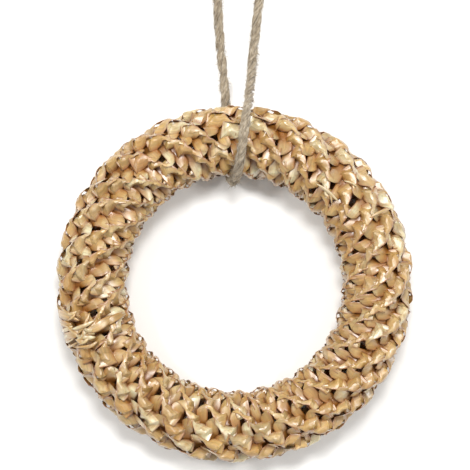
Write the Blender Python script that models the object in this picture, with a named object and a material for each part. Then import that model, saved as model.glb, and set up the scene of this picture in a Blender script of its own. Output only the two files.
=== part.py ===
"""Straw ornament: a thick ring braided from flat straw strips, with a loop of jute twine.

The ring lies flat on its back at Z = 0, its middle on the Z axis, and its front faces +Z.
+Y is the side that the twine hangs it from. The strips run as a round braid: spiral ridges
of folded lobes, with flat bars lying crosswise in the valleys between them.
All sizes are in metres.
"""

import math

import bmesh
import bpy
import numpy as np
from mathutils import Vector

# Sizes of the ring
RING_DIAMETER = 0.110
BRAID_DIAMETER = 0.0226
BRAID_HEIGHT = 0.0219

# The braid's pattern and its relief
STRIPS = 6
LAYERS = 78
TURNS = 5
VALLEY_DEPTH = 0.0024
LOBE_RELIEF = 0.0013
BAR_RELIEF = 0.0009
LOBE_SLANT = 0.45
UNEVENNESS = 0.00035
FIRST_RIDGE_ANGLE = math.radians(12)

# Where the rows of points lie on a strip, in shares of the layer, and how high they stand:
# one on its near edge, one on its far edge and one in the gap behind it
STRIP_ROWS = ((0.0, 1.0), (0.52, 0.92), (0.76, 0.0))
POINTS_PER_RIDGE = 3

# The torn end of a strip that stands out of the outer edge, measured clockwise from +Y
TEAR_ANGLE = math.radians(256)
TEAR_SPAN = math.radians(5)
TEAR_HEIGHT = 0.0009

# The twine and its knot
TWINE_DIAMETER = 0.0026
KNOT_LENGTH = 0.0070
KNOT_WIDTH = 0.0074
KNOT_HEIGHT = 0.0052
KNOT_LUMP = 0.00035
TAIL_LENGTH = 0.0085
TAIL_SPREAD = math.radians(24)
GAP = 0.0003
TWINE_STEP = 0.0052

# Where the knot lies, past the top of the loop
KNOT_CENTRE = Vector((0.0012, 0.1170, KNOT_HEIGHT / 2))

# The twine's route: from the knot down the right side to the ring, over the front of the braid,
# round its inner side, back beneath it and up the left side to the knot
RIGHT_STRAND = (
    (0.0025, 0.1146, 0.0026),
    (0.0064, 0.1085, 0.0015),
    (0.0085, 0.0990, 0.0013),
    (0.0078, 0.0890, 0.0013),
    (0.0067, 0.0800, 0.0013),
    (0.0059, 0.0720, 0.0017),
    (0.0053, 0.0655, 0.0043),
    (0.0048, 0.0600, 0.0095),
    (0.0043, 0.0561, 0.0144),
)
AROUND_BRAID = (
    (0.0038, 0.0530, 0.0188),
    (0.0032, 0.0489, 0.0218),
    (0.0025, 0.0436, 0.0229),
    (0.0018, 0.0384, 0.0217),
    (0.0011, 0.0342, 0.0186),
    (0.0003, 0.0320, 0.0144),
    (-0.0006, 0.0315, 0.0098),
    (-0.0013, 0.0327, 0.0055),
    (-0.0017, 0.0357, 0.0024),
)
LEFT_STRAND = (
    (-0.0020, 0.0400, 0.0013),
    (-0.0022, 0.0470, 0.0013),
    (-0.0026, 0.0550, 0.0013),
    (-0.0034, 0.0640, 0.0013),
    (-0.0044, 0.0740, 0.0013),
    (-0.0050, 0.0830, 0.0013),
    (-0.0055, 0.0910, 0.0013),
    (-0.0058, 0.0990, 0.0013),
    (-0.0042, 0.1082, 0.0015),
    (-0.0001, 0.1146, 0.0026),
)
TWINE_ROUTE = RIGHT_STRAND + AROUND_BRAID + LEFT_STRAND

# The colours, as linear values
STRAW_COLOUR = (0.552, 0.342, 0.133, 1.0)
JUTE_COLOUR = (0.376, 0.279, 0.184, 1.0)

# What follows from the sizes
BRAID_RADIUS = BRAID_DIAMETER / 2
MIDDLE_RADIUS = (RING_DIAMETER - BRAID_DIAMETER) / 2
MIDDLE_HEIGHT = BRAID_HEIGHT - BRAID_RADIUS
TWIST = 2 * math.pi * TURNS


def clear_scene():
    """Remove every object, so that only the ornament is left."""
    for old in list(bpy.data.objects):
        bpy.data.objects.remove(old, do_unlink=True)


def new_collection(name):
    """Return a new collection in the scene."""
    collection = bpy.data.collections.new(name)
    bpy.context.scene.collection.children.link(collection)
    return collection


def new_material(name, colour, roughness):
    """Return a Principled material."""
    material = bpy.data.materials.new(name)
    material.use_nodes = True
    shader = material.node_tree.nodes["Principled BSDF"]
    shader.inputs["Base Color"].default_value = colour
    shader.inputs["Roughness"].default_value = roughness
    shader.inputs["Metallic"].default_value = 0.0
    material.diffuse_color = colour
    return material


def new_object(name, data, collection, material=None):
    """Put a mesh or curve into the scene as a named object."""
    made = bpy.data.objects.new(name, data)
    collection.objects.link(made)
    if material:
        made.data.materials.append(material)
    return made


def wave(phase):
    """A smooth wave of the phase in turns: 1 at whole turns and 0 halfway between them."""
    return 0.5 + 0.5 * math.cos(2 * math.pi * phase)


def unevenness(angle, ridge):
    """A slow, uneven change of the strips' height, as hand braiding leaves it."""
    return UNEVENNESS * (
        math.sin(11 * angle + 2.1 * ridge) + 0.6 * math.sin(29 * angle - 3.7 * ridge)
    )


def tear(angle, around):
    """How far the torn strip's end lifts the outer edge here."""
    off = math.remainder(angle - TEAR_ANGLE, 2 * math.pi) / TEAR_SPAN
    return TEAR_HEIGHT * math.exp(-off * off) * max(0.0, math.sin(around))


def braid_point(layer, strip, ridge):
    """Return a point of the braid's surface, at a layer along it and a ridge round it.

    strip is 1 on a strip of straw and 0 between two, and a whole ridge is the crest of its lobes.
    """
    crest = wave(ridge)
    angle = 2 * math.pi * (layer + LOBE_SLANT * crest) / LAYERS
    around = FIRST_RIDGE_ANGLE + 2 * math.pi * ridge / STRIPS - TWIST * layer / LAYERS
    radius = BRAID_RADIUS - VALLEY_DEPTH * (1 - crest)
    radius -= (LOBE_RELIEF * crest + BAR_RELIEF * (1 - crest)) * (1 - strip)
    radius += unevenness(angle, ridge) + tear(angle, around)
    out = MIDDLE_RADIUS + radius * math.sin(around)
    height = MIDDLE_HEIGHT + radius * math.cos(around)
    return Vector((out * math.sin(angle), out * math.cos(angle), height))


def braid_mesh():
    """Return the ring's mesh: a torus whose points are moved onto the braid's surface."""
    rows = LAYERS * len(STRIP_ROWS)
    columns = STRIPS * POINTS_PER_RIDGE
    bpy.ops.mesh.primitive_torus_add(
        major_segments=rows,
        minor_segments=columns,
        major_radius=MIDDLE_RADIUS,
        minor_radius=BRAID_RADIUS,
    )
    torus = bpy.context.object
    mesh = torus.data
    for number, vertex in enumerate(mesh.vertices):
        row, column = divmod(number, columns)
        layer, part_of_layer = divmod(row, len(STRIP_ROWS))
        share, strip = STRIP_ROWS[part_of_layer]
        vertex.co = braid_point(layer + share, strip, column / POINTS_PER_RIDGE)
    bpy.data.objects.remove(torus, do_unlink=True)
    shape = bmesh.new()
    shape.from_mesh(mesh)
    places = np.array([vertex.co for vertex in shape.verts])
    off = (places.min(axis=0) + places.max(axis=0)) / 2
    bmesh.ops.translate(shape, vec=(-off[0], -off[1], 0), verts=shape.verts)
    bmesh.ops.recalc_face_normals(shape, faces=shape.faces)
    shape.to_mesh(mesh)
    shape.free()
    mesh.shade_smooth()
    mesh.name = "straw_braid"
    return mesh


def smooth_route(points, step):
    """Return points about a step apart on a smooth curve through the given ones."""
    route = [np.array(point) for point in points]
    route = [2 * route[0] - route[1], *route, 2 * route[-1] - route[-2]]
    fine = []
    for a, b, c, d in zip(route, route[1:], route[2:], route[3:]):
        for t in np.linspace(0, 1, 24, endpoint=False):
            fine.append(
                0.5
                * (
                    2 * b
                    + (c - a) * t
                    + (2 * a - 5 * b + 4 * c - d) * t**2
                    + (3 * b - a - 3 * c + d) * t**3
                )
            )
    fine = np.array([*fine, route[-2]])
    along = np.concatenate([[0], np.cumsum(np.linalg.norm(np.diff(fine, axis=0), axis=1))])
    places = np.linspace(0, along[-1], max(2, round(along[-1] / step) + 1))
    return [Vector([np.interp(place, along, fine[:, k]) for k in range(3)]) for place in places]


def tube_curve(name, points, radius, radii=None):
    """Return a curve with a round section through the points, with filled ends."""
    curve = bpy.data.curves.new(name, "CURVE")
    curve.dimensions = "3D"
    curve.bevel_depth = radius
    curve.bevel_resolution = 2
    curve.use_fill_caps = True
    spline = curve.splines.new("POLY")
    spline.points.add(len(points) - 1)
    for number, point in enumerate(points):
        spline.points[number].co = (*point, 1.0)
        spline.points[number].radius = radii[number] if radii else 1.0
    return curve


def curve_as_mesh(curve, name):
    """Return the curve's tube as a closed mesh."""
    holder = bpy.data.objects.new(name, curve)
    bpy.context.scene.collection.objects.link(holder)
    mesh = bpy.data.meshes.new_from_object(holder.evaluated_get(bpy.context.evaluated_depsgraph_get()))
    mesh.name = name
    bpy.data.objects.remove(holder, do_unlink=True)
    shape = bmesh.new()
    shape.from_mesh(mesh)
    bmesh.ops.remove_doubles(shape, verts=shape.verts, dist=1e-6)
    bmesh.ops.recalc_face_normals(shape, faces=shape.faces)
    shape.to_mesh(mesh)
    shape.free()
    return mesh


def boolean(target, cutter, operation):
    """Join the cutter to the target, or cut it away, with a modifier."""
    change = target.modifiers.new(cutter.name, "BOOLEAN")
    change.operation = operation
    change.object = cutter
    change.solver = "EXACT"


def as_guide(made):
    """Show an object that only shapes another one as wires."""
    made.hide_render = True
    made.display_type = "WIRE"


def floor_mesh():
    """Return a slab from the floor down, wider than the ring."""
    slab = bmesh.new()
    bmesh.ops.create_cube(slab, size=1.0)
    width = RING_DIAMETER + BRAID_DIAMETER
    bmesh.ops.scale(slab, vec=(width, width, BRAID_RADIUS), verts=slab.verts)
    bmesh.ops.translate(slab, vec=(0, 0, -BRAID_RADIUS / 2), verts=slab.verts)
    mesh = bpy.data.meshes.new("floor_slab")
    slab.to_mesh(mesh)
    slab.free()
    return mesh


def make_braid(parts, guides, material, route):
    """Make the braided ring, its lowest lobes pressed flat and a channel where the twine goes."""
    braid = new_object("straw_braid", braid_mesh(), parts, material)
    slab = new_object("floor_slab", floor_mesh(), guides)
    as_guide(slab)
    boolean(braid, slab, "DIFFERENCE")
    channel = tube_curve("twine_channel", route, TWINE_DIAMETER / 2 + GAP)
    cutter = new_object("twine_channel", curve_as_mesh(channel, "twine_channel"), guides)
    as_guide(cutter)
    boolean(braid, cutter, "DIFFERENCE")
    return braid


def make_twine(parts, material, route):
    """Make the twine as one tube."""
    curve = tube_curve("hanging_twine", route, TWINE_DIAMETER / 2)
    return new_object("hanging_twine", curve, parts, material)


def knot_mesh():
    """Return the knot's body: a lumpy egg with the twist of its turns."""
    shape = bmesh.new()
    bmesh.ops.create_uvsphere(shape, u_segments=12, v_segments=8, radius=1.0)
    half = Vector((KNOT_WIDTH, KNOT_LENGTH, KNOT_HEIGHT)) / 2
    for vertex in shape.verts:
        way = vertex.co.copy()
        turn = math.atan2(way.z, way.x) + 2.5 * way.y
        lump = KNOT_LUMP * math.sin(3 * turn) * (1 - way.y * way.y)
        place = Vector((way.x * half.x, way.y * half.y, way.z * half.z)) + way * lump
        place.z = max(place.z, -half.z)
        vertex.co = KNOT_CENTRE + place
    mesh = bpy.data.meshes.new("twine_knot")
    shape.to_mesh(mesh)
    shape.free()
    mesh.shade_smooth()
    return mesh


def make_knot(parts, guides, material, route):
    """Make the knot with its two short tails, clear of the twine that runs into it."""
    knot = new_object("twine_knot", knot_mesh(), parts, material)
    radius = TWINE_DIAMETER / 2
    for side in (-1, 1):
        turn = side * TAIL_SPREAD
        way = Vector((math.sin(turn), math.cos(turn), 0))
        start = KNOT_CENTRE + Vector((side * radius * 0.7, KNOT_LENGTH / 6, 0))
        end = start + way * (KNOT_LENGTH / 3 + TAIL_LENGTH)
        end.z = radius
        name = "tail_left" if side < 0 else "tail_right"
        points = [start.lerp(end, share) for share in (0, 0.4, 0.75, 1)]
        tail = tube_curve(name, points, radius, radii=(1, 1, 1, 0.8))
        piece = new_object(name, curve_as_mesh(tail, name), guides)
        as_guide(piece)
        boolean(knot, piece, "UNION")
    for name, ends in (("right_way_in", route[2::-1]), ("left_way_in", route[-3:])):
        past_the_end = ends[-1] + GAP * (ends[-1] - ends[-2]).normalized()
        space = tube_curve(name, [*ends[:-1], past_the_end], radius + GAP)
        cutter = new_object(name, curve_as_mesh(space, name), guides)
        as_guide(cutter)
        boolean(knot, cutter, "DIFFERENCE")
    return knot


def main():
    """Build the whole ornament."""
    clear_scene()
    parts = new_collection("straw_ornament")
    guides = new_collection("guides")
    straw = new_material("straw", STRAW_COLOUR, 0.38)
    jute = new_material("jute_twine", JUTE_COLOUR, 0.9)
    knotted_jute = new_material("jute_knot", JUTE_COLOUR, 0.9)
    route = smooth_route(TWINE_ROUTE, TWINE_STEP)
    make_braid(parts, guides, straw, route)
    make_twine(parts, jute, route)
    make_knot(parts, guides, knotted_jute, route)


main()
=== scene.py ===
"""Straw ornament, dressed for rendering: a ring braided from flat glossy straw strips, which hangs
by a loop of three-ply jute twine.

The ring lies on its back at Z = 0 with its middle on the Z axis. +Y is the side that it hangs
from. All sizes are in metres unless a name or comment says millimetres.
"""

import logging
import math
import random
from dataclasses import dataclass
from enum import Enum
from typing import Sequence

import bmesh
import bpy
import numpy as np
from bpy.types import ID, Material, Mesh, Node, NodeSocket, Object
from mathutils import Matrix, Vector


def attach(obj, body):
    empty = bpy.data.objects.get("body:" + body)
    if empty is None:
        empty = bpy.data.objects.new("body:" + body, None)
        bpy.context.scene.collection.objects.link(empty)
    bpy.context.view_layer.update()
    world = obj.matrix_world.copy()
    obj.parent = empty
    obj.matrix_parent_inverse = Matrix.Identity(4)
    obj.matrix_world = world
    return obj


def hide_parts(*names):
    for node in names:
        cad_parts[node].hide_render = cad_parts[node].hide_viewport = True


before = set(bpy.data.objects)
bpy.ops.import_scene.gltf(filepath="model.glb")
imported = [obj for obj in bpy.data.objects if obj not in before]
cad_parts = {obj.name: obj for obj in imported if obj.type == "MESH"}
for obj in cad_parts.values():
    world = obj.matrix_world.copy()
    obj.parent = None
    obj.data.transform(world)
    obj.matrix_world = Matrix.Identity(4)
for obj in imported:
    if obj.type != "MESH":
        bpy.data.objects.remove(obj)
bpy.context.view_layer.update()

logging.basicConfig(level=logging.INFO, format="%(levelname)s %(message)s")
LOG = logging.getLogger("straw_ornament")

MM = 0.001
TINY = 1e-7
CURVE_STEPS = 24
SHARP_FOLD = math.radians(26)

# The braid's measures from above: a layer along the ring, how far a ridge moves round in that way,
# the ridges' spacing, where a crest lies in its unit, and how far the crests stand out
PITCH_MM = 3.52
RIDGE_SLOPE = 4.27 / PITCH_MM
RIDGE_SPACING_MM = 11.1
CREST_MM = 1.9
RELIEF_MM = 1.2

# The twine's route, the same points as in the part's source: from the knot down the right side,
# over the front of the braid, round its inner side, back beneath it and up the left side
RIGHT_STRAND = (
    (0.0025, 0.1146, 0.0026),
    (0.0064, 0.1085, 0.0015),
    (0.0085, 0.0990, 0.0013),
    (0.0078, 0.0890, 0.0013),
    (0.0067, 0.0800, 0.0013),
    (0.0059, 0.0720, 0.0017),
    (0.0053, 0.0655, 0.0043),
    (0.0048, 0.0600, 0.0095),
    (0.0043, 0.0561, 0.0144),
)
AROUND_BRAID = (
    (0.0038, 0.0530, 0.0188),
    (0.0032, 0.0489, 0.0218),
    (0.0025, 0.0436, 0.0229),
    (0.0018, 0.0384, 0.0217),
    (0.0011, 0.0342, 0.0186),
    (0.0003, 0.0320, 0.0144),
    (-0.0006, 0.0315, 0.0098),
    (-0.0013, 0.0327, 0.0055),
    (-0.0017, 0.0357, 0.0024),
)
LEFT_STRAND = (
    (-0.0020, 0.0400, 0.0013),
    (-0.0022, 0.0470, 0.0013),
    (-0.0026, 0.0550, 0.0013),
    (-0.0034, 0.0640, 0.0013),
    (-0.0044, 0.0740, 0.0013),
    (-0.0050, 0.0830, 0.0013),
    (-0.0055, 0.0910, 0.0013),
    (-0.0058, 0.0990, 0.0013),
    (-0.0042, 0.1082, 0.0015),
    (-0.0001, 0.1146, 0.0026),
)
TWINE_ROUTE = RIGHT_STRAND + AROUND_BRAID + LEFT_STRAND
TWINE_DIAMETER = 0.0026
KNOT_CENTRE = Vector((0.0012, 0.1170, 0.0026))


class Slot(Enum):
    """The record's material slots."""

    STRAW = "straw"
    JUTE = "jute_twine"


class Part(Enum):
    """The stretches of a strip that take a colour of their own."""

    LOBE = 0
    TIP = 1
    BAR = 2


def linear(hex_colour: str, alpha: float = 1.0) -> tuple[float, float, float, float]:
    """Turn an sRGB hex colour into linear values.

    Args:
        hex_colour: Six hex digits with a leading #.
        alpha: The fourth value.

    Returns:
        Red, green, blue and alpha, linear.
    """
    parts = [int(hex_colour[k : k + 2], 16) / 255 for k in (1, 3, 5)]
    red, green, blue = (p / 12.92 if p <= 0.04045 else ((p + 0.055) / 1.055) ** 2.4 for p in parts)
    return red, green, blue, alpha


def set_inputs(node: Node, inputs: dict[str | int, object]) -> None:
    """Link or set a node's inputs.

    Args:
        node: The node.
        inputs: For each input's name or number, an output socket to link or a value to set.
    """
    for name, value in inputs.items():
        if isinstance(value, NodeSocket):
            node.id_data.links.new(value, node.inputs[name])
        else:
            node.inputs[name].default_value = value


def add_node(material: Material, kind: str, inputs: dict[str | int, object], **settings: object) -> Node:
    """Add a node with its settings, and link or set its inputs.

    Args:
        material: The material whose tree gets the node.
        kind: The node's type name, without ShaderNode before it.
        inputs: As set_inputs takes them.
        settings: Properties of the node itself.

    Returns:
        The new node.
    """
    node = material.node_tree.nodes.new(f"ShaderNode{kind}")
    for name, value in settings.items():
        setattr(node, name, value)
    set_inputs(node, inputs)
    return node


def set_ramp(node: Node, stops: Sequence[tuple[float, str]]) -> None:
    """Give a colour ramp its stops.

    Args:
        node: The ramp node.
        stops: Place and sRGB hex colour of each stop, in order.
    """
    ramp = node.color_ramp
    while len(ramp.elements) > 1:
        ramp.elements.remove(ramp.elements[-1])
    ramp.elements[0].position, ramp.elements[0].color = stops[0][0], linear(stops[0][1])
    for place, colour in stops[1:]:
        ramp.elements.new(place).color = linear(colour)


def blank_material(name: str) -> tuple[Material, Node]:
    """Make an empty material.

    Args:
        name: Its name.

    Returns:
        The material and its Principled shader.
    """
    material = bpy.data.materials.new(name)
    material.use_nodes = True
    return material, material.node_tree.nodes["Principled BSDF"]


@dataclass(frozen=True)
class StrawFinish:
    """Dried flat straw, split and polished: a satin skin with fine lengthwise fibres."""

    honey: str = "#BA8E4B"
    olive: str = "#A5864A"
    wheat: str = "#C6A15C"
    orange: str = "#B47E3A"
    painted_highlight_colour: str = "#E2D8AE"
    edge_shade: str = "#8A4308"
    inner_shade: str = "#90520E"
    fibre_width_mm: float = 0.34
    fibre_stretch: float = 0.085
    fibre_height: float = 0.00008
    blotch_mm: float = 2.6
    facet_mm: float = 2.4
    facet_height: float = 0.00022
    roughness: float = 0.36
    ior: float = 1.70
    anisotropy: float = 0.75
    coat_ior: float = 1.65
    coat_roughness: float = 0.34

    def material(self) -> Material:
        """Make the material. It reads the strip's own UV in millimetres and its attributes.

        Returns:
            The material.
        """
        made, shader = blank_material("dried_straw_polished")
        place = add_node(made, "UVMap", {}, uv_map="strip_mm").outputs["UV"]
        # Fibres run along the strip, so the pattern is stretched twelve times along it
        scale = (1 / self.fibre_width_mm, self.fibre_stretch / self.fibre_width_mm, 1.0)
        stretched = add_node(made, "Mapping", {"Vector": place, "Scale": scale}).outputs["Vector"]
        fibres = add_node(
            made, "TexNoise", {"Vector": stretched, "Scale": 0.55, "Detail": 3.0, "Roughness": 0.6}
        ).outputs["Fac"]
        blotches = add_node(
            made,
            "TexNoise",
            {"Vector": place, "Scale": 1 / self.blotch_mm, "Detail": 2.0, "Roughness": 0.55},
        ).outputs["Fac"]
        tone, pale, deep, edge = (
            add_node(made, "Attribute", {}, attribute_name=name).outputs["Fac"]
            for name in ("tone", "pale", "deep", "edge")
        )
        mixed = add_node(made, "Math", {0: blotches, 1: 0.42, 2: tone}, operation="MULTIPLY_ADD")
        hue = add_node(made, "ValToRGB", {"Fac": mixed.outputs["Value"]})
        set_ramp(hue, [(0.14, self.olive), (0.5, self.honey), (0.78, self.wheat), (1.0, self.orange)])
        # Painted highlight: some stretches turn pale in patches, not all over, and stand for the satin
        # shine
        patchy = add_node(
            made,
            "MapRange",
            {"Value": blotches, "From Min": 0.35, "From Max": 0.6, "To Min": 0.4, "To Max": 1.15},
        )
        painted_highlight_patches = add_node(made, "Math", {0: pale, 1: patchy.outputs["Result"]}, operation="MULTIPLY")
        lighter = add_node(
            made,
            "Mix",
            {"Factor": painted_highlight_patches.outputs["Value"], 6: hue.outputs["Color"], 7: linear(self.painted_highlight_colour)},
            data_type="RGBA",
        )
        streak = add_node(
            made,
            "MapRange",
            {"Value": fibres, "From Min": 0.3, "From Max": 0.7, "To Min": 0.70, "To Max": 1.14},
        )
        streaked = add_node(
            made,
            "VectorMath",
            {0: lighter.outputs[2], "Scale": streak.outputs["Result"]},
            operation="SCALE",
        )
        # Painted shade: the strip turns darker and redder towards its edges, where the overlaps shade it
        edged = add_node(
            made,
            "Mix",
            {"Factor": edge, 6: streaked.outputs["Vector"], 7: linear(self.edge_shade)},
            data_type="RGBA",
        )
        # Painted shade of the hollows: the deeper the straw lies in the braid, the darker and redder it
        # turns
        shaded = add_node(
            made,
            "Mix",
            {"Factor": deep, 6: edged.outputs[2], 7: linear(self.inner_shade)},
            data_type="RGBA",
        )
        shine = add_node(
            made,
            "MapRange",
            {
                "Value": blotches,
                "From Min": 0.3,
                "From Max": 0.7,
                "To Min": self.roughness - 0.06,
                "To Max": self.roughness + 0.10,
            },
        )
        # Flattened straw creases into small flat facets, each tilted its own way
        scaled = add_node(
            made, "VectorMath", {0: place, "Scale": 1 / self.facet_mm}, operation="SCALE"
        ).outputs["Vector"]
        cells = add_node(made, "TexVoronoi", {"Vector": scaled, "Scale": 1.0}, voronoi_dimensions="2D")
        off = add_node(made, "VectorMath", {0: scaled, 1: cells.outputs["Position"]}, operation="SUBTRACT")
        slope = add_node(
            made, "VectorMath", {0: cells.outputs["Color"], 1: (0.5, 0.5, 0.5)}, operation="SUBTRACT"
        )
        facet = add_node(
            made,
            "VectorMath",
            {0: off.outputs["Vector"], 1: slope.outputs["Vector"]},
            operation="DOT_PRODUCT",
        )
        creased = add_node(
            made, "Bump", {"Height": facet.outputs["Value"], "Strength": 1.0, "Distance": self.facet_height}
        )
        relief = add_node(
            made,
            "Bump",
            {
                "Height": fibres,
                "Strength": 0.35,
                "Distance": self.fibre_height,
                "Normal": creased.outputs["Normal"],
            },
        )
        # The fibres stretch the shine across the strip, which gives the satin look of polished straw
        grain = add_node(made, "Tangent", {}, direction_type="UV_MAP", uv_map="strip_mm")
        set_inputs(
            shader,
            {
                "Base Color": shaded.outputs[2],
                "Roughness": shine.outputs["Result"],
                "Normal": relief.outputs["Normal"],
                "Tangent": grain.outputs["Tangent"],
                "Anisotropic": self.anisotropy,
                "IOR": self.ior,
                "Subsurface Weight": 0.10,
                "Subsurface Radius": (1.0, 0.62, 0.25),
                "Subsurface Scale": 0.0006,
                "Coat Weight": 1.0,
                "Coat IOR": self.coat_ior,
                "Coat Roughness": self.coat_roughness,
            },
        )
        return made


@dataclass(frozen=True)
class JuteFinish:
    """Spun jute: dull greige-brown fibres that lie along the twist."""

    light: str = "#C0B39D"
    middle: str = "#93846E"
    dark: str = "#54483A"
    fibre_width_mm: float = 0.22
    fibre_stretch: float = 0.16
    fibre_slant: float = math.radians(24)
    fibre_height: float = 0.00016
    roughness: float = 0.86

    def material(self) -> Material:
        """Make the material. It reads the ply's own UV in millimetres.

        Returns:
            The material.
        """
        made, shader = blank_material("spun_jute")
        place = add_node(made, "UVMap", {}, uv_map="strip_mm").outputs["UV"]
        # The fibres cross each ply at a slant, as its own twist lays them
        scale = (1 / self.fibre_width_mm, self.fibre_stretch / self.fibre_width_mm, 1.0)
        slanted = add_node(
            made, "Mapping", {"Vector": place, "Rotation": (0.0, 0.0, self.fibre_slant), "Scale": scale}
        ).outputs["Vector"]
        fibres = add_node(
            made, "TexNoise", {"Vector": slanted, "Scale": 0.8, "Detail": 4.0, "Roughness": 0.65}
        ).outputs["Fac"]
        spots = add_node(
            made, "TexNoise", {"Vector": place, "Scale": 0.45, "Detail": 3.0, "Roughness": 0.6}
        ).outputs["Fac"]
        both = add_node(made, "Math", {0: spots, 1: 0.6, 2: fibres}, operation="MULTIPLY_ADD")
        hue = add_node(made, "ValToRGB", {"Fac": both.outputs["Value"]})
        set_ramp(hue, [(0.55, self.dark), (0.76, self.middle), (0.98, self.light)])
        relief = add_node(made, "Bump", {"Height": fibres, "Strength": 0.8, "Distance": self.fibre_height})
        set_inputs(
            shader,
            {
                "Base Color": hue.outputs["Color"],
                "Normal": relief.outputs["Normal"],
                "Roughness": self.roughness,
                "Sheen Weight": 0.35,
                "Sheen Roughness": 0.5,
                "Specular IOR Level": 0.25,
            },
        )
        return made


@dataclass(frozen=True)
class PaperFinish:
    """Smooth matt paper, which gives an even pale ground."""

    colour: str = "#F7F6F3"
    roughness: float = 0.9

    def material(self) -> Material:
        """Make the material.

        Returns:
            The material.
        """
        made, shader = blank_material("matt_paper")
        place = add_node(made, "TexCoord", {}).outputs["Object"]
        flecks = add_node(made, "TexNoise", {"Vector": place, "Scale": 900.0, "Detail": 2.0}).outputs["Fac"]
        relief = add_node(made, "Bump", {"Height": flecks, "Strength": 0.05, "Distance": 0.00002})
        set_inputs(
            shader,
            {
                "Normal": relief.outputs["Normal"],
                "Base Color": linear(self.colour),
                "Roughness": self.roughness,
            },
        )
        return made


def grid_mesh(
    name: str,
    across: int,
    along: int,
    places: np.ndarray,
    uv_mm: np.ndarray,
    layers: dict[str, np.ndarray],
    join: float = 0.0,
) -> Mesh:
    """Lay a grid of quads onto given places.

    Args:
        name: The mesh's name.
        across: Quads across.
        along: Quads along.
        places: Points, shape (along + 1, across + 1, 3).
        uv_mm: Millimetres across and along, shape (along + 1, across + 1, 2).
        layers: Values per point for named attributes, shape (along + 1, across + 1).
        join: Points nearer than this are merged, 0 to leave them.

    Returns:
        The mesh.
    """
    shape = bmesh.new()
    bmesh.ops.create_grid(shape, x_segments=across, y_segments=along, size=1.0)
    spots: dict[bmesh.types.BMVert, tuple[int, int]] = {}
    stores = {key: shape.verts.layers.float.new(key) for key in layers}
    for vertex in shape.verts:
        column = round((vertex.co.x + 1) / 2 * across)
        row = round((vertex.co.y + 1) / 2 * along)
        spots[vertex] = (row, column)
    uv = shape.loops.layers.uv.new("strip_mm")
    for face in shape.faces:
        for loop in face.loops:
            loop[uv].uv = uv_mm[spots[loop.vert]]
    for vertex, spot in spots.items():
        vertex.co = places[spot]
        for key, store in stores.items():
            vertex[store] = float(layers[key][spot])
    if join > 0:
        bmesh.ops.remove_doubles(shape, verts=shape.verts, dist=join)
    mesh = bpy.data.meshes.new(name)
    shape.to_mesh(mesh)
    shape.free()
    mesh.shade_smooth()
    mesh.set_sharp_from_angle(angle=SHARP_FOLD)
    return mesh


def join_meshes(name: str, parts: Sequence[Mesh], outwards: bool = False) -> Mesh:
    """Make one mesh of several, which are used up.

    Args:
        name: The new mesh's name.
        parts: The meshes.
        outwards: Whether to turn all faces outwards.

    Returns:
        The mesh.
    """
    shape = bmesh.new()
    for part in parts:
        shape.from_mesh(part)
        bpy.data.meshes.remove(part)
    if outwards:
        bmesh.ops.recalc_face_normals(shape, faces=shape.faces)
    mesh = bpy.data.meshes.new(name)
    shape.to_mesh(mesh)
    shape.free()
    return mesh


def place_object(name: str, data: ID) -> Object:
    """Put a mesh, a light or a camera into the scene.

    Args:
        name: The object's name.
        data: What it holds.

    Returns:
        The object.
    """
    made = bpy.data.objects.new(name, data)
    bpy.context.scene.collection.objects.link(made)
    return made


def add_piece(mesh: Mesh, material: Material) -> Object:
    """Put a mesh into the scene as a piece of the ornament, under the mesh's name.

    Args:
        mesh: The mesh, in place.
        material: Its finish.

    Returns:
        The object.
    """
    made = place_object(mesh.name, mesh)
    mesh.materials.append(material)
    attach(made, "root")
    return made


def thicken(piece: Object, thickness: float) -> None:
    """Give a sheet its thickness on both sides of its middle.

    Args:
        piece: The sheet.
        thickness: In metres.
    """
    wall = piece.modifiers.new("straw_thickness", "SOLIDIFY")
    wall.thickness = thickness
    wall.offset = 0.0
    wall.use_even_offset = False
    wall.use_rim = True


def run_along(line: np.ndarray) -> np.ndarray:
    """Measure how far along a line each of its points lies.

    Args:
        line: Points, shape (n, 3).

    Returns:
        The distances, shape (n,).
    """
    return np.concatenate([[0], np.cumsum(np.linalg.norm(np.diff(line, axis=0), axis=1))])


def smooth_route(points: Sequence[Sequence[float]], step: float) -> np.ndarray:
    """Find even steps on a smooth curve through points.

    Args:
        points: The given points.
        step: About how far apart the steps are.

    Returns:
        The steps' points, shape (n, 3).
    """
    route = [np.array(point) for point in points]
    route = [2 * route[0] - route[1], *route, 2 * route[-1] - route[-2]]
    fine = []
    for a, b, c, d in zip(route, route[1:], route[2:], route[3:]):
        square, cube = 2 * a - 5 * b + 4 * c - d, 3 * b - a - 3 * c + d
        for t in np.linspace(0, 1, CURVE_STEPS, endpoint=False):
            fine.append(0.5 * (2 * b + (c - a) * t + square * t**2 + cube * t**3))
    line = np.array([*fine, route[-2]])
    along = run_along(line)
    places = np.linspace(0, along[-1], max(2, round(along[-1] / step) + 1))
    return np.array([[np.interp(place, along, line[:, k]) for k in range(3)] for place in places])


def frames_along(line: np.ndarray) -> tuple[np.ndarray, np.ndarray, np.ndarray]:
    """Carry a frame along a line without twisting it.

    Args:
        line: Points, shape (n, 3).

    Returns:
        Tangents and two cross directions, each of shape (n, 3).
    """
    tangents = np.gradient(line, axis=0)
    tangents /= np.linalg.norm(tangents, axis=1)[:, None]
    side = np.cross(tangents[0], (0.0, 0.0, 1.0))
    if np.linalg.norm(side) < 0.1:
        side = np.cross(tangents[0], (1.0, 0.0, 0.0))
    sides = []
    for tangent in tangents:
        side = side - tangent * side.dot(tangent)
        side = side / np.linalg.norm(side)
        sides.append(side)
    first = np.array(sides)
    return tangents, first, np.cross(tangents, first)


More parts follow.
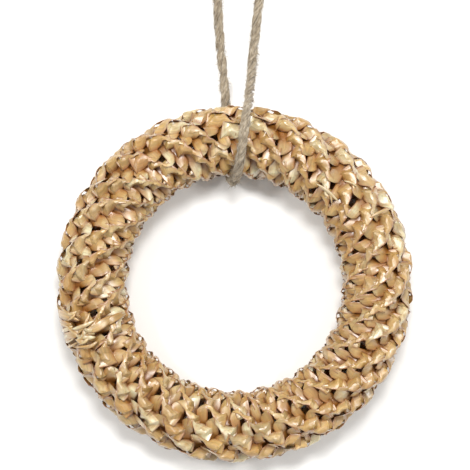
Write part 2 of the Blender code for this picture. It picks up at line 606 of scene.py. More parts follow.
@dataclass
class RingShape:
    """The round tube that the braid follows, and the spiral ridges on it."""

    diameter: float = 0.110
    braid_diameter: float = 0.0226
    braid_height: float = 0.0219
    ridges: int = 6
    turns: int = 5
    first_ridge: float = math.radians(12)
    layers: int = 78
    crowding: float = 0.035
    crowded_at: float = math.radians(45)
    second_crowding: float = 0.3
    wander: float = 0.05

    @property
    def braid_radius(self) -> float:
        """Half the braid's thickness."""
        return self.braid_diameter / 2

    @property
    def middle_radius(self) -> float:
        """From the ring's middle to the braid's."""
        return (self.diameter - self.braid_diameter) / 2

    @property
    def middle_height(self) -> float:
        """How high the braid's middle lies."""
        return self.braid_height - self.braid_radius

    def lattice(self, ridge: float, layer: float) -> tuple[float, float]:
        """Where a lobe stands.

        Args:
            ridge: Its ridge.
            layer: Its layer along the ring.

        Returns:
            The angle clockwise from +Y, and the angle round the braid from +Z to the outer edge.
        """
        angle = 2 * math.pi * layer / self.layers
        angle += self.crowding * math.sin(2 * (angle - self.crowded_at))
        angle += self.second_crowding * self.crowding * math.sin(5 * angle + 1.0)
        around = self.first_ridge + 2 * math.pi * ridge / self.ridges - self.turns * angle
        around += self.wander * math.sin(7 * angle + 2.2 * ridge)
        return angle, around

    def place(self, angle: np.ndarray, around: np.ndarray, radius: np.ndarray) -> np.ndarray:
        """Find points on or in the braid.

        Args:
            angle: Angles clockwise from +Y.
            around: Angles round the braid.
            radius: Distances from the braid's middle line.

        Returns:
            The points, shape (n, 3).
        """
        out = self.middle_radius + radius * np.sin(around)
        return np.stack(
            [out * np.sin(angle), out * np.cos(angle), self.middle_height + radius * np.cos(around)],
            axis=-1,
        )

    def axes(self, angle: np.ndarray, around: np.ndarray) -> tuple[np.ndarray, np.ndarray, np.ndarray]:
        """Find the directions along the ring, round the braid and outwards.

        Args:
            angle: Angles clockwise from +Y.
            around: Angles round the braid.

        Returns:
            Three arrays of unit vectors.
        """
        nil = np.zeros_like(angle)
        clockwise = np.stack([np.cos(angle), -np.sin(angle), nil], axis=-1)
        radial = np.stack([np.sin(angle), np.cos(angle), nil], axis=-1)
        up = np.stack([nil, nil, nil + 1], axis=-1)
        sine, cosine = np.sin(around)[..., None], np.cos(around)[..., None]
        return clockwise, radial * cosine - up * sine, radial * sine + up * cosine


def on_relief(edge: tuple[float, float, float]) -> Vector:
    """Lift a point by the braid's relief: its ridges stand out and the valleys between lie low.

    Args:
        edge: The point in its unit, in millimetres.

    Returns:
        The point on the relief.
    """
    u, v, h = edge
    phase = 2 * math.pi * (v + RIDGE_SLOPE * u - CREST_MM) / RIDGE_SPACING_MM
    return Vector((u, v, h + RELIEF_MM * math.cos(phase)))


@dataclass(frozen=True)
class Section:
    """One section of a strip in its unit, in millimetres from the middle of its lobe.

    left and right are its two edges, each as u clockwise along the ring, v round the braid to the
    outer edge, and h outwards. bow tells how far it bends across, in radians, crease how much of
    that bend is a sharp fold, and ridge where the fold lies across it. free tells how far the
    strip may tilt here, and part names the stretch for its colour.
    """

    left: tuple[float, float, float]
    right: tuple[float, float, float]
    bow: float
    crease: float
    ridge: float
    free: float
    part: Part

    @property
    def middle(self) -> Vector:
        """Halfway between the edges."""
        return (on_relief(self.left) + on_relief(self.right)) / 2

    @property
    def half(self) -> Vector:
        """From the middle to the right edge."""
        return (on_relief(self.right) - on_relief(self.left)) / 2


# A strip's path through one unit of the braid: it comes up from inside at the crest, rolls over,
# falls as a lobe on the side towards the inner edge, sweeps to the right and climbs back over the
# crest as a neck, folds there and runs down the other side as a bar to below the next ridge's lobe
UNIT = (
    Section((-1.50, 0.50, -2.50), (1.70, 0.80, -2.50), -0.10, 0.0, 0.0, 0.2, Part.BAR),
    Section((-1.60, 2.20, -1.80), (1.50, 2.90, -1.90), 0.05, 0.0, 0.0, 0.3, Part.LOBE),
    Section((-1.70, 3.00, -0.60), (1.10, 3.60, -0.90), 0.10, 0.0, 0.3, 0.5, Part.LOBE),
    Section((-1.95, 2.50, 0.05), (1.05, 3.10, 0.00), 0.20, 0.2, 0.2, 0.6, Part.LOBE),
    Section((-2.50, 0.40, -0.20), (1.10, 2.20, 0.45), 0.35, 0.5, 0.2, 0.9, Part.LOBE),
    Section((-3.25, -2.30, -0.75), (1.30, 1.30, 0.65), 0.50, 0.9, 0.3, 1.2, Part.LOBE),
    Section((-2.80, -2.70, -0.75), (1.50, 1.00, 0.70), 0.55, 1.0, 0.3, 1.2, Part.LOBE),
    Section((-0.70, -2.80, -0.55), (1.80, 0.40, 0.75), 0.55, 1.0, 0.3, 1.0, Part.LOBE),
    Section((1.00, -2.60, -0.15), (2.25, -0.10, 0.80), 0.45, 1.0, 0.2, 0.8, Part.LOBE),
    Section((2.30, -2.40, 0.35), (2.80, -0.85, 0.45), 0.30, 0.8, 0.0, 0.6, Part.LOBE),
    Section((3.15, -2.85, 0.60), (3.60, -1.70, -0.10), 0.20, 0.4, 0.0, 0.5, Part.LOBE),
    Section((4.10, -3.45, 0.55), (5.00, -2.20, -0.10), 0.10, 0.0, 0.0, 0.4, Part.TIP),
    Section((4.50, -3.65, 0.40), (6.50, -2.80, 0.10), 0.03, 0.0, 0.0, 0.3, Part.TIP),
    Section((4.20, -2.80, 0.20), (7.10, -1.90, 0.00), -0.10, 0.0, 0.0, 0.4, Part.TIP),
    Section((3.65, -1.00, -0.10), (7.10, -0.50, -0.20), -0.15, 0.2, 0.0, 0.8, Part.BAR),
    Section((3.25, 1.00, -0.70), (6.75, 1.10, -0.80), -0.15, 0.3, 0.0, 1.0, Part.BAR),
    Section((2.85, 2.70, -1.35), (6.15, 2.70, -1.40), -0.15, 0.3, 0.0, 1.0, Part.BAR),
    Section((2.40, 4.60, -2.20), (5.50, 4.60, -2.20), -0.15, 0.0, 0.0, 0.4, Part.BAR),
)


# How far each stretch strays along the ring, round the braid and outwards, in millimetres
STRAY_MM = {
    Part.LOBE: (0.22, 0.26, 0.17),
    Part.TIP: (0.22, 0.26, 0.20),
    Part.BAR: (0.24, 0.12, 0.14),
}

# How strong the painted highlight is on a stretch that gets it, which draws between 0 and 1 give it, and
# how pale the others may be
PAINTED_HIGHLIGHT = {
    Part.LOBE: (0.55, 0.0, 0.12, 0.3),
    Part.TIP: (0.6, 0.06, 0.18, 0.3),
    Part.BAR: (0.8, 0.10, 0.22, 0.2),
}


@dataclass
class StrawStrip:
    """One of the six strips of straw. It closes on itself after one round of the ring."""

    number: int
    ring: RingShape
    route: np.ndarray
    seed: int = 11
    across: int = 10
    thickness: float = 0.00016
    base_radius: float = 0.0095
    usual_width: float = 1.02
    crowded_width: float = 0.08
    spread: float = 1.08
    fan: float = 0.9
    width_stray: float = 0.10
    tilt_stray: float = 0.20
    fold_stray: float = 0.25
    tone: float = 0.32
    tone_stray: float = 0.16
    most_tone: float = 0.8
    least_bow: float = 0.02
    arc_sink: float = 0.4
    fold_sink: float = 0.35
    pattern_gap_mm: float = 40.0
    # How much painted shade the strip's edges and its deeper straw take
    edge_painted_shade: float = 0.8
    painted_shade_from_mm: float = 9.1
    painted_shade_over_mm: float = 1.7
    deepest_painted_shade: float = 0.85
    free_radius: float = 0.0109
    margin: float = 0.00012
    floor_softness: float = 0.0009
    least_height: float = 0.0001
    twine_room: float = 0.00145
    twine_near: float = 0.003

    @property
    def units(self) -> int:
        """How many lobes the strip makes before it closes."""
        return self.ring.layers

    def unit_keys(self, number: int, chance: random.Random) -> list[list[float]]:
        """List the unit's sections with this unit's own unevenness.

        Args:
            number: The unit's number along the strip.
            chance: The strip's own random numbers.

        Returns:
            For each section: angle, around, radius in mm, the width direction (3), half width,
            bow, crease, place of the fold, tone, and pale for the painted highlight.
        """
        angle, around = self.ring.lattice(self.number + number, number)
        ahead, _ = self.ring.lattice(self.number + number + 1, number + 1)
        along_scale = (ahead - angle) / PITCH_MM
        around_scale = 2 * math.pi / self.ring.ridges / RIDGE_SPACING_MM
        shifts = {part: [chance.gauss(0, stray) for stray in STRAY_MM[part]] for part in Part}
        wide = self.width_here(number) * (1 + chance.gauss(0, self.width_stray))
        turn = chance.gauss(0, self.tilt_stray)
        fold = 1 + chance.gauss(0, self.fold_stray)
        tones = {
            part: min(self.most_tone, max(0.0, chance.gauss(self.tone, self.tone_stray))) for part in Part
        }
        # Painted highlight: some stretches of the unit turn pale, as a satin shine would make them
        luck = chance.random()
        painted_highlight_by_part = {
            part: most * (low < luck < high) + rest * chance.random() ** 2
            for part, (most, low, high, rest) in PAINTED_HIGHLIGHT.items()
        }
        keys = []
        for section in UNIT:
            du, dv, dh = shifts[section.part]
            u, v, h = section.middle
            spot = around + (v + dv) * around_scale
            w = section.half
            w.x *= self.stretch(spot)
            half = w.length
            w /= half
            w.z += turn * section.free
            keys.append(
                [
                    angle + (u + du) * along_scale,
                    spot,
                    self.base_radius / MM + h + dh,
                    *w.normalized(),
                    half * wide,
                    section.bow * fold,
                    section.crease,
                    section.ridge,
                    tones[section.part],
                    painted_highlight_by_part[section.part],
                ]
            )
        return keys

    def width_here(self, number: int) -> float:
        """Find how wide the strip is at a unit: wider where the rows crowd, and a little uneven.

        Args:
            number: The unit's number along the strip.

        Returns:
            The share of the drawn width.
        """
        turn = 2 * math.pi * number / self.units
        uneven = 0.05 * math.sin(3 * turn + 1.7 * self.number) + 0.04 * math.sin(8 * turn + self.number)
        crowded = self.crowded_width * math.cos(2 * (turn - self.ring.crowded_at))
        return self.usual_width + crowded + uneven

    def stretch(self, around: float) -> float:
        """How much wider the strip lies along the ring at its outer edge, or narrower at its inner.

        Args:
            around: The angle round the braid.

        Returns:
            The share of the usual width.
        """
        return self.spread + self.fan * self.base_radius * math.sin(around) / self.ring.middle_radius

    def sections(self) -> np.ndarray:
        """List all the sections of the strip, closed at its ends.

        Returns:
            The sections, shape (n + 1, 12); the last one is the first one after a whole round.
        """
        chance = random.Random(self.seed * 100 + self.number)
        rows = np.array([key for number in range(self.units) for key in self.unit_keys(number, chance)])
        laps = np.zeros(rows.shape[1])
        laps[0] = 2 * math.pi
        laps[1] = 2 * math.pi * (self.units / self.ring.ridges - self.ring.turns)
        return np.concatenate([rows, rows[:1] + laps])

    def profile(self, rows: np.ndarray, share: np.ndarray) -> tuple[np.ndarray, np.ndarray]:
        """Bend the strip across its width, partly as an arc and partly as a sharp fold.

        Args:
            rows: The strip's sections.
            share: Places across the strip, from -1 to 1.

        Returns:
            How far each point lies aside and how far it lifts, in metres.
        """
        half, crease, ridge = rows[:, 6:7] * MM, rows[:, 8:9], rows[:, 9:10]
        bow = np.where(np.abs(rows[:, 7:8]) < self.least_bow, self.least_bow, rows[:, 7:8])
        arc = half / bow
        aside = arc * np.sin(share * bow)
        lift = arc * (np.cos(share * bow) - 1) + arc * (1 - np.cos(bow)) * self.arc_sink
        off = share - ridge
        fold_aside = half * (ridge + off * np.cos(bow))
        fold_lift = half * (self.fold_sink - np.abs(off)) * np.sin(bow)
        return aside + (fold_aside - aside) * crease, lift + (fold_lift - lift) * crease

    def surface(self) -> tuple[np.ndarray, np.ndarray, dict[str, np.ndarray]]:
        """Lay the strip's surface round its centre line.

        Returns:
            Points, UV in millimetres and the attributes.
        """
        rows = self.sections()
        angle, around, radius = rows[:, 0], rows[:, 1], rows[:, 2] * MM
        centre = self.ring.place(angle, around, radius)
        clockwise, round_braid, outwards = self.ring.axes(angle, around)
        wide = rows[:, 3:4] * clockwise + rows[:, 4:5] * round_braid + rows[:, 5:6] * outwards
        tangent = np.gradient(centre, axis=0)
        ends = centre[1] - centre[0] + centre[-1] - centre[-2]
        tangent[0] = tangent[-1] = ends / 2
        tangent /= np.linalg.norm(tangent, axis=1)[:, None]
        wide /= np.linalg.norm(wide, axis=1)[:, None]
        normal = np.cross(tangent, wide)
        normal /= np.maximum(np.linalg.norm(normal, axis=1), 1e-9)[:, None]
        share = np.linspace(-1, 1, self.across + 1)[None, :]
        aside, lift = self.profile(rows, share)
        points = (
            centre[:, None, :]
            + aside[..., None] * wide[:, None, :]
            + lift[..., None] * normal[:, None, :]
        )
        points = self.clear_of_twine(self.keep_inside(points))
        points[-1] = points[0]
        # Each strip has its own stretch of the fibre pattern
        sideways = share * rows[:, 6:7] + self.pattern_gap_mm * self.number
        uv = np.stack(np.broadcast_arrays(sideways, run_along(centre)[:, None] / MM), axis=-1)
        ones = np.ones_like(sideways)
        # pale carries the painted highlight; deep and edge carry the painted shade of the hollows and of
        # the strip's edges
        return points, uv, {
            "tone": rows[:, 10:11] * ones,
            "pale": rows[:, 11:12] * ones,
            "deep": self.depth(points),
            "edge": self.edge_painted_shade * np.abs(share) ** 5 * ones,
        }

    def depth(self, points: np.ndarray) -> np.ndarray:
        """Measure how deep points lie in the braid, from 0 at its surface to 1: the share of painted shade
        that they take.

        Args:
            points: Shape (..., 3).

        Returns:
            The shares.
        """
        out = np.hypot(points[..., 0], points[..., 1]) - self.ring.middle_radius
        radius = np.hypot(out, points[..., 2] - self.ring.middle_height) / MM
        return np.clip((self.painted_shade_from_mm - radius) / self.painted_shade_over_mm, 0.0, self.deepest_painted_shade)

    def keep_inside(self, points: np.ndarray) -> np.ndarray:
        """Hold the straw within the ring's outline and above the floor, and flatten it there.

        Args:
            points: Shape (..., 3).

        Returns:
            The points, moved.
        """
        flat = np.hypot(points[..., 0], points[..., 1])
        out = flat - self.ring.middle_radius
        high = points[..., 2] - self.ring.middle_height
        radius = np.hypot(out, high)
        room = self.ring.braid_radius - self.margin - self.free_radius
        over = np.maximum(radius - self.free_radius, 0.0)
        eased = self.free_radius + room * (1 - np.exp(-over / room))
        ratio = np.where(radius > self.free_radius, eased, radius) / radius
        new_out, new_high = out * ratio, high * ratio
        height = new_high + self.ring.middle_height
        low = np.minimum(height - self.margin - self.floor_softness, 0.0)
        settled = self.margin + self.floor_softness * np.exp(low / self.floor_softness)
        height = np.where(height < self.margin + self.floor_softness, settled, height)
        scale = (self.ring.middle_radius + new_out) / flat
        return np.stack([points[..., 0] * scale, points[..., 1] * scale, height], axis=-1)

    def clear_of_twine(self, points: np.ndarray) -> np.ndarray:
        """Press the straw aside where the twine passes.

        Args:
            points: Shape (rows, across + 1, 3).

        Returns:
            The points, moved.
        """
        flat = points.reshape(-1, 3)
        low, high = self.route.min(axis=0) - self.twine_near, self.route.max(axis=0) + self.twine_near
        near = np.where(np.all((flat > low) & (flat < high), axis=1))[0]
        for index in near:
            away = flat[index] - self.route
            distance = np.linalg.norm(away, axis=1)
            closest = int(distance.argmin())
            gap = distance[closest]
            if gap < self.twine_room:
                flat[index] = self.route[closest] + away[closest] / max(gap, TINY) * self.twine_room
        flat[:, 2] = np.maximum(flat[:, 2], self.least_height)
        return flat.reshape(points.shape)

    def build(self, material: Material) -> Object:
        """Make the strip.

        Args:
            material: The straw finish.

        Returns:
            The piece.
        """
        points, uv, layers = self.surface()
        name = f"straw_strip_{self.number + 1}"
        mesh = grid_mesh(name, self.across, points.shape[0] - 1, points, uv, layers, join=TINY)
        piece = add_piece(mesh, material)
        thicken(piece, self.thickness)
        return piece


@dataclass
class HangingTwine:
    """The jute twine: three plies laid round each other along the route."""

    route: Sequence[Sequence[float]]
    diameter: float = TWINE_DIAMETER
    plies: int = 3
    step: float = 0.0005
    lay_length: float = 0.0105
    ply_share: float = 0.56
    ply_reach: float = 0.82
    floor_room: float = 1.12
    wander_steps: int = 8
    wander_turn: float = 0.30
    uneven: float = 0.10
    uneven_lag: int = 7
    thinnest: float = 0.8
    thickest: float = 1.1
    seed: int = 5

    def line(self) -> np.ndarray:
        """The twine's centre line in even steps."""
        return smooth_route(self.route, self.step)

    def length(self) -> float:
        """The twine's measured length."""
        return float(np.linalg.norm(np.diff(self.line(), axis=0), axis=1).sum())

    def build(self, material: Material) -> Object:
        """Make the twine as one mesh of its plies.

        Args:
            material: The jute finish.

        Returns:
            The piece.
        """
        line = self.line()
        _, first, second = frames_along(line)
        along = np.linspace(0, self.length(), len(line))
        ply_radius = self.diameter / 2 * self.ply_share
        orbit = self.diameter / 2 - ply_radius * self.ply_reach
        chance = random.Random(self.seed)
        parts = []
        for ply in range(self.plies):
            drawn = [chance.gauss(0, 1) for _ in range(len(line) // self.wander_steps + 2)]
            wander = np.interp(np.arange(len(line)) / self.wander_steps, np.arange(len(drawn)), drawn)
            turn = 2 * math.pi * (along / self.lay_length + ply / self.plies) + self.wander_turn * wander
            centre = line + orbit * (np.cos(turn)[:, None] * first + np.sin(turn)[:, None] * second)
            centre[:, 2] = np.maximum(centre[:, 2], ply_radius * self.floor_room)
            uneven = 1 + self.uneven * np.roll(wander, self.uneven_lag)
            thick = ply_radius * np.clip(uneven, self.thinnest, self.thickest)
            parts.append(self.ply(f"ply_{ply}", centre, thick))
        mesh = join_meshes("jute_twine_plies", parts)
        mesh.shade_smooth()
        piece = add_piece(mesh, material)
        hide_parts("hanging_twine")
        return piece

    def ply(
        self, name: str, centre: np.ndarray, thick: np.ndarray, around: int = 10, shift: float = 0.0
    ) -> Mesh:
        """Make one ply, strand or hair as a closed tube.

        Args:
            name: The mesh's name.
            centre: Its centre line, shape (n, 3).
            thick: Its radius at each point.
            around: Quads round it.
            shift: How far its fibre pattern is moved, in millimetres.

        Returns:
            The mesh.
        """
        _, first, second = frames_along(centre)
        turn = np.linspace(0, 2 * math.pi, around + 1)
        aside, up = np.cos(turn)[None, :, None], np.sin(turn)[None, :, None]
        ring = aside * first[:, None, :] + up * second[:, None, :]
        points = centre[:, None, :] + ring * thick[:, None, None]
        points[:, -1] = points[:, 0]
        points[0] = points[0].mean(axis=0)
        points[-1] = points[-1].mean(axis=0)
        girth = turn * self.diameter / 4 / MM
        uv = np.stack(np.meshgrid(girth, run_along(centre) / MM), axis=-1) + shift
        mesh = grid_mesh(name, around, len(centre) - 1, points, uv, {}, join=TINY)
        return join_meshes(name, [mesh], outwards=True)


@dataclass(frozen=True)
class Fray:
    """A worn place on the twine, where fibres stand out."""

    place: tuple[float, float, float]
    reach: float
    hairs: int
    lean: tuple[float, float, float]
    length: float


FRAYS = (
    Fray((0.0058, 0.0700, 0.0020), 0.0014, 110, (1.0, -0.6, 0.2), 0.0018),
    Fray((0.0053, 0.0720, 0.0020), 0.0014, 60, (-1.0, -0.1, 0.2), 0.0014),
    Fray((0.0045, 0.0600, 0.0095), 0.0022, 70, (-1.0, 0.1, 0.2), 0.0015),
    Fray((0.0010, 0.0335, 0.0180), 0.0030, 260, (-0.9, -0.5, 0.3), 0.0028),
    Fray((0.0022, 0.0410, 0.0226), 0.0030, 120, (-0.7, -0.3, 0.4), 0.0018),
)


@dataclass
class TwineFuzz:
    """Loose strands wound over the twine and the short hairs that stand off it."""

    twine: HangingTwine
    strands: int = 150
    strand_radius: float = 0.00014
    strand_steps: tuple[int, int] = (9, 20)
    strand_twist: tuple[float, float] = (0.10, 0.40)
    strand_out: tuple[float, float] = (0.92, 1.14)
    strand_wave: float = 0.06
    hairs: int = 1300
    hair_radius: float = 0.00006
    usual_hair: float = 0.0007
    longest_hair: float = 0.0022
    hair_steps: int = 3
    hair_curl: float = 0.5
    hair_lean: float = 1.1
    hair_root: float = 0.42
    fray_root: float = 0.35
    fray_lean: float = 0.35
    fray_spread: float = 0.55
    fray_margin: float = 0.003
    least_height: float = 0.0002
    pattern_gap_mm: float = 0.37
    seed: int = 21

    def strand(
        self, chance: random.Random, line: np.ndarray, first: np.ndarray, second: np.ndarray
    ) -> np.ndarray:
        """Lay one loose strand along the twine's surface.

        Args:
            chance: Random numbers.
            line: The twine's centre line.
            first: One cross direction along it.
            second: The other one.

        Returns:
            The strand's points.
        """
        count = chance.randint(*self.strand_steps)
        start = chance.randint(0, len(line) - count - 1)
        span = slice(start, start + count)
        turn = chance.uniform(0, 2 * math.pi) + np.arange(count) * chance.uniform(*self.strand_twist)
        out = chance.uniform(*self.strand_out) + self.strand_wave * np.sin(np.arange(count) * 0.7)
        aside = np.cos(turn)[:, None] * first[span] + np.sin(turn)[:, None] * second[span]
        return line[span] + (self.twine.diameter / 2 * out)[:, None] * aside

    def hair(self, chance: random.Random, root: np.ndarray, way: np.ndarray, length: float) -> np.ndarray:
        """Bend one hair away from the twine.

        Args:
            chance: Random numbers.
            root: Where it stands.
            way: Its direction.
            length: Its length.

        Returns:
            Its points.
        """
        curl = np.array([chance.gauss(0, self.hair_curl) for _ in range(3)])
        points = [root]
        for _ in range(self.hair_steps):
            way = way / np.linalg.norm(way)
            points.append(points[-1] + way * length / self.hair_steps)
            way = way + curl
        return np.array(points)

    def build(self, material: Material) -> Object:
        """Make all loose strands and hairs as one piece.

        Args:
            material: The jute finish.

        Returns:
            The piece.
        """
        chance = random.Random(self.seed)
        line = self.twine.line()
        tangents, first, second = frames_along(line)
        lines = [
            (self.strand(chance, line, first, second), self.strand_radius * chance.uniform(0.6, 1.2))
            for _ in range(self.strands)
        ]
        roots = []
        for _ in range(self.hairs):
            spot = chance.randrange(4, len(line) - 4)
            turn = chance.uniform(0, 2 * math.pi)
            out = math.cos(turn) * first[spot] + math.sin(turn) * second[spot]
            way = out + tangents[spot] * chance.gauss(0, self.hair_lean)
            length = min(self.longest_hair, abs(chance.gauss(0, self.usual_hair)) + self.usual_hair)
            roots.append((line[spot] + out * self.twine.diameter * self.hair_root, way, length))
        for fray in FRAYS:
            far = np.linalg.norm(line - np.array(fray.place), axis=1)
            near = np.where(far < fray.reach + self.fray_margin)[0]
            for _ in range(fray.hairs):
                spot = int(near[chance.randrange(len(near))])
                turn = chance.uniform(0, 2 * math.pi)
                out = math.cos(turn) * first[spot] + math.sin(turn) * second[spot]
                along = self.fray_lean * tangents[spot] * chance.gauss(0, 1)
                way = np.array(fray.lean) + self.fray_spread * out + along
                length = fray.length * chance.uniform(0.4, 1.1)
                roots.append((line[spot] + out * self.twine.diameter * self.fray_root, way, length))
        lines += [(self.hair(chance, *root), self.hair_radius * chance.uniform(0.7, 1.4)) for root in roots]
        parts = []
        for number, (points, radius) in enumerate(lines):
            points[:, 2] = np.maximum(points[:, 2], self.least_height)
            share = np.linspace(-1, 1, len(points))
            # A strand thins at both ends and a hair at its free end
            if len(points) > self.hair_steps + 1:
                thick, around = radius * (1.05 - np.abs(share) ** 3), 5
            else:
                thick, around = radius * (1.2 - (share + 1) / 2), 3
            shift = self.pattern_gap_mm * number
            parts.append(self.twine.ply(f"fibre_{number}", points, thick, around, shift))
        return add_piece(join_meshes("jute_fuzz", parts), material)


@dataclass
class TwineKnot:
    """The knot that ties the twine's two ends, past the top of the loop, with two frayed tails."""

    centre: Vector
    width: float = 0.0074
    length: float = 0.0070
    height: float = 0.0052
    waist: float = 0.72
    swell: float = 0.28
    coil_points: int = 90
    coil_share: float = 0.98
    tail_length: float = 0.0085
    tail_aside: float = 0.35
    tail_spread: float = math.radians(24)
    tail_points: int = 30
    taper: float = 0.25
    sides: int = 12

    def coil(self) -> np.ndarray:
        """Lay the centre line of the twine where it winds through the knot.

        Returns:
            Its points, shape (n, 3).
        """
        steps = np.linspace(0, 2 * math.pi, self.coil_points)
        radius = TWINE_DIAMETER / 2
        swing = self.waist + self.swell * np.cos(3 * steps)
        x = (self.width / 2 - radius) * np.cos(2 * steps) * swing
        y = (self.length / 2 - radius) * np.sin(2 * steps) * swing
        z = (self.height / 2 - radius) * np.sin(3 * steps)
        return np.stack([x, y, z], axis=1) + np.array(self.centre)

    def build(self, material: Material, twine: HangingTwine) -> Object:
        """Make the knot.

        Args:
            material: The jute finish.
            twine: The twine that it ties.

        Returns:
            The piece.
        """
        thick = np.full(self.coil_points, TWINE_DIAMETER / 2 * self.coil_share)
        parts = [twine.ply("knot_turns", self.coil(), thick, self.sides)]
        for side in (-1, 1):
            turn = side * self.tail_spread
            way = np.array([math.sin(turn), math.cos(turn), 0.0])
            aside = side * TWINE_DIAMETER * self.tail_aside
            start = np.array(self.centre) + np.array([aside, self.length / 6, 0.0])
            end = start + way * (self.length / 3 + self.tail_length)
            end[2] = TWINE_DIAMETER / 2
            share = np.linspace(0, 1, self.tail_points)[:, None]
            thick = TWINE_DIAMETER / 2 * (1 - self.taper * share[:, 0] ** 2)
            parts.append(twine.ply(f"tail_{side}", start * (1 - share) + end * share, thick, self.sides))
        mesh = join_meshes("jute_knot", parts)
        mesh.shade_smooth()
        piece = add_piece(mesh, material)
        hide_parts("twine_knot")
        return piece


@dataclass(frozen=True)
class Sliver:
    """A splinter or a torn end of straw: where it starts and ends from above, in millimetres."""

    start: tuple[float, float]
    end: tuple[float, float]
    width: float
    lift: float
    torn: float
    # How much painted highlight it takes
    pale: float


# Splinters on the right shoulder, and the torn ends of a splice at the lower left
SLIVERS = (
    Sliver((24.4, 30.7), (31.5, 24.9), 0.9, 0.25, 0.0, 0.5),
    Sliver((33.0, 31.3), (37.0, 29.5), 0.5, 0.20, 0.0, 0.6),
    Sliver((27.5, 30.0), (29.5, 24.0), 0.6, 0.15, 0.0, 0.3),
    Sliver((40.5, 20.0), (47.5, 23.0), 0.8, 0.20, 0.2, 0.2),
    Sliver((-48.8, -9.8), (-54.3, -8.3), 2.6, 0.30, 1.0, 0.1),
    Sliver((-49.5, -12.4), (-53.8, -11.2), 2.0, 0.10, 1.0, 0.0),
    Sliver((-46.8, -14.2), (-51.6, -15.6), 2.4, 0.35, 1.0, 0.1),
    Sliver((-36.8, -9.6), (-44.8, -14.2), 2.9, 0.45, 0.6, 0.1),
    Sliver((-38.5, -12.0), (-33.6, -9.0), 2.2, 0.30, 0.7, 0.0),
    Sliver((-42.0, -10.6), (-49.0, -13.4), 1.2, 0.55, 0.4, 0.7),
)


@dataclass
class LooseStraw:
    """Splinters and torn straw ends that lie on the braid."""

    ring: RingShape
    across: int = 6
    along: int = 12
    thickness: float = 0.00014
    curve: float = 0.0004
    raggedness: float = 0.0007
    bend: float = 0.00018
    sink: float = 0.0006
    margin: float = 0.0004
    radius: float = 0.01104
    reach: float = 0.0112
    pattern_start_mm: float = 300.0
    pattern_gap_mm: float = 9.0
    taper: float = 2.5
    fibres: int = 22
    splice_x_mm: tuple[float, float] = (-50, -41)
    splice_y_mm: tuple[float, float] = (-17.5, -8)
    fibre_way: float = math.radians(190)
    fibre_fan: float = 0.55
    fibre_length_mm: tuple[float, float] = (3, 8)
    fibre_width_mm: tuple[float, float] = (0.4, 1.4)
    fibre_lift_mm: tuple[float, float] = (0.2, 0.7)
    fibre_torn: float = 0.6
    seed: int = 8

    def ribbon(self, sliver: Sliver, chance: random.Random) -> tuple[np.ndarray, np.ndarray]:
        """Lay one sliver over the braid.

        Args:
            sliver: Which one.
            chance: Random numbers.

        Returns:
            Its points and how far along each one is, in millimetres.
        """
        start, end = np.array(sliver.start) * MM, np.array(sliver.end) * MM
        share = np.linspace(0, 1, self.along + 1)
        side = np.array([start[1] - end[1], end[0] - start[0]])
        side /= np.linalg.norm(side)
        bowed = side * np.sin(share * math.pi)[:, None] * self.curve
        middle = start + (end - start) * share[:, None] + bowed
        narrowing = (1 - sliver.torn * 0.5) * np.abs(2 * share - 1) ** self.taper
        half = sliver.width / 2 * MM * (1 - narrowing)
        places = np.linspace(-1, 1, self.across + 1)
        ragged = np.array([chance.uniform(-1, 1) for _ in places]) * sliver.torn * self.raggedness
        forward = (end - start) / np.linalg.norm(end - start)
        flat = middle[:, None, :] + side * (half[:, None] * places[None, :])[..., None]
        flat = flat + forward * (ragged[None, :] * share[:, None] ** 6)[..., None]
        far = np.hypot(flat[..., 0], flat[..., 1])
        flat = flat * np.minimum(1.0, (self.ring.diameter / 2 - self.margin) / far)[..., None]
        out = np.hypot(flat[..., 0], flat[..., 1]) - self.ring.middle_radius
        out = np.clip(out, -self.reach, self.reach)
        high = self.ring.middle_height + np.sqrt(np.maximum(self.radius**2 - out**2, 0.0))
        # A sliver starts sunk among the strips and rises off them towards its end
        rise = sliver.lift * MM * np.sin(share * math.pi * 0.8 + 0.2)[:, None]
        rise = rise - self.sink * (1 - share[:, None]) ** 4
        bend = self.bend * (1 - places[None, :] ** 2)
        points = np.stack([flat[..., 0], flat[..., 1], high + rise + bend], axis=-1)
        return points, share * np.linalg.norm(end - start) / MM

    def torn_fibres(self, chance: random.Random) -> list[Sliver]:
        """Scatter thin fibres that stick out of the splice.

        Args:
            chance: Random numbers.

        Returns:
            The fibres, as narrow slivers.
        """
        made = []
        for _ in range(self.fibres):
            start = (chance.uniform(*self.splice_x_mm), chance.uniform(*self.splice_y_mm))
            turn = chance.gauss(self.fibre_way, self.fibre_fan)
            length = chance.uniform(*self.fibre_length_mm)
            end = (start[0] + length * math.cos(turn), start[1] + length * math.sin(turn))
            width, lift = chance.uniform(*self.fibre_width_mm), chance.uniform(*self.fibre_lift_mm)
            made.append(Sliver(start, end, width, lift, self.fibre_torn, chance.random() ** 2))
        return made

    def build(self, material: Material) -> Object:
        """Make all slivers as one piece.

        Args:
            material: The straw finish.

        Returns:
            The piece.
        """
        chance = random.Random(self.seed)
        parts = []
        for number, sliver in enumerate(list(SLIVERS) + self.torn_fibres(chance)):
            points, length = self.ribbon(sliver, chance)
            places = np.linspace(-1, 1, self.across + 1)[None, :]
            ones = np.ones(points.shape[:2])
            place_mm = self.pattern_start_mm + self.pattern_gap_mm * number
            sideways = places * sliver.width / 2 * ones + place_mm
            # The slivers take the same painted highlight and painted edge shade as the strips, and no
            # painted shade of the hollows
            layers = {
                "tone": ones * chance.uniform(0.15, 0.5),
                "pale": ones * sliver.pale,
                "deep": ones * 0.0,
                "edge": ones * 0.5 * np.abs(places) ** 5,
            }
            uv = np.stack([sideways, length[:, None] * ones], axis=-1)
            parts.append(grid_mesh(f"sliver_{number}", self.across, self.along, points, uv, layers))
        mesh = join_meshes("loose_straw", parts, outwards=True)
        piece = add_piece(mesh, material)
        thicken(piece, self.thickness)
        return piece


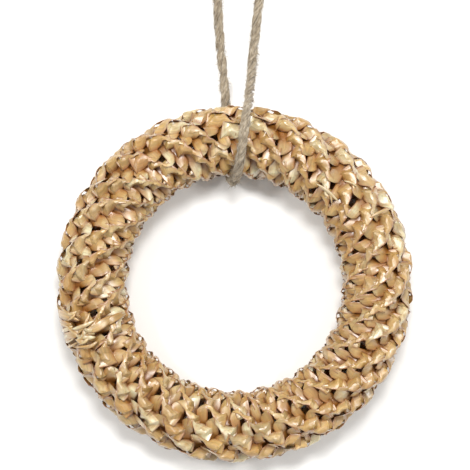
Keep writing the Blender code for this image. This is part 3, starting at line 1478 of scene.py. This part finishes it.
@dataclass
class Studio:
    """The pale floor, the soft lights and the camera straight above."""

    view_width: float = 0.1443
    view_centre: tuple[float, float] = (0.00015, 0.0150)
    lens_mm: float = 150.0
    sensor_mm: float = 36.0
    focus_height: float = 0.0106
    floor_size: float = 4.0
    view_depth: tuple[float, float] = (0.01, 20.0)
    air_colour: tuple[float, float, float, float] = (0.97, 0.98, 1.0, 1.0)
    air_strength: float = 0.47

    def floor(self) -> None:
        """Lay the floor."""
        shape = bmesh.new()
        bmesh.ops.create_grid(shape, x_segments=4, y_segments=4, size=self.floor_size / 2)
        mesh = bpy.data.meshes.new("studio_floor")
        shape.to_mesh(mesh)
        shape.free()
        mesh.materials.append(PaperFinish().material())
        place_object("studio_floor", mesh)

    def light(self, name: str, place: Sequence[float], size: float, power: float) -> None:
        """Hang a soft square light that faces the ring.

        Args:
            name: Its name.
            place: Where it hangs.
            size: Its side.
            power: In watts.
        """
        data = bpy.data.lights.new(name, "AREA")
        data.size = size
        data.energy = power
        made = place_object(name, data)
        made.location = place
        made.rotation_euler = (-Vector(place)).to_track_quat("-Z", "Y").to_euler()

    def build(self) -> None:
        """Set up the floor, the lights, the surroundings and the camera."""
        self.floor()
        self.light("window", (0.05, 0.46, 0.97), 0.28, 7.2)
        self.light("left_lamp", (-0.60, 0.25, 0.90), 0.22, 4.2)
        self.light("right_lamp", (0.62, 0.10, 0.90), 0.22, 3.4)
        world = bpy.data.worlds.new("studio_air")
        bpy.context.scene.world = world
        world.use_nodes = True
        air = world.node_tree.nodes["Background"]
        set_inputs(air, {"Color": self.air_colour, "Strength": self.air_strength})
        data = bpy.data.cameras.new("camera")
        data.lens = self.lens_mm
        data.sensor_width = self.sensor_mm
        data.dof.use_dof = False
        data.clip_start, data.clip_end = self.view_depth
        camera = place_object("camera", data)
        distance = self.view_width / self.sensor_mm * self.lens_mm
        camera.location = (*self.view_centre, self.focus_height + distance)
        bpy.context.scene.camera = camera


def main() -> None:
    """Build and dress the whole ornament."""
    bpy.context.scene.view_settings.view_transform = "Standard"
    Studio().build()
    jute = JuteFinish().material()
    straw = StrawFinish().material()
    twine = HangingTwine(TWINE_ROUTE)
    plies = twine.build(jute)
    knot = TwineKnot(KNOT_CENTRE).build(jute, twine)
    fuzz = TwineFuzz(twine).build(jute)
    LOG.info("twine: %.1f mm long", twine.length() / MM)
    twine.length()
    ring = RingShape()
    route = twine.line()
    for number in range(ring.ridges):
        piece = StrawStrip(number, ring, route).build(straw)
        LOG.info("%s: %d faces before its thickness", piece.name, len(piece.data.polygons))
    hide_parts("straw_braid")
    loose = LooseStraw(ring).build(straw)
    for piece in (plies, knot, fuzz, loose):
        LOG.info("%s: %d faces", piece.name, len(piece.data.polygons))


if __name__ == "__main__":
    main()
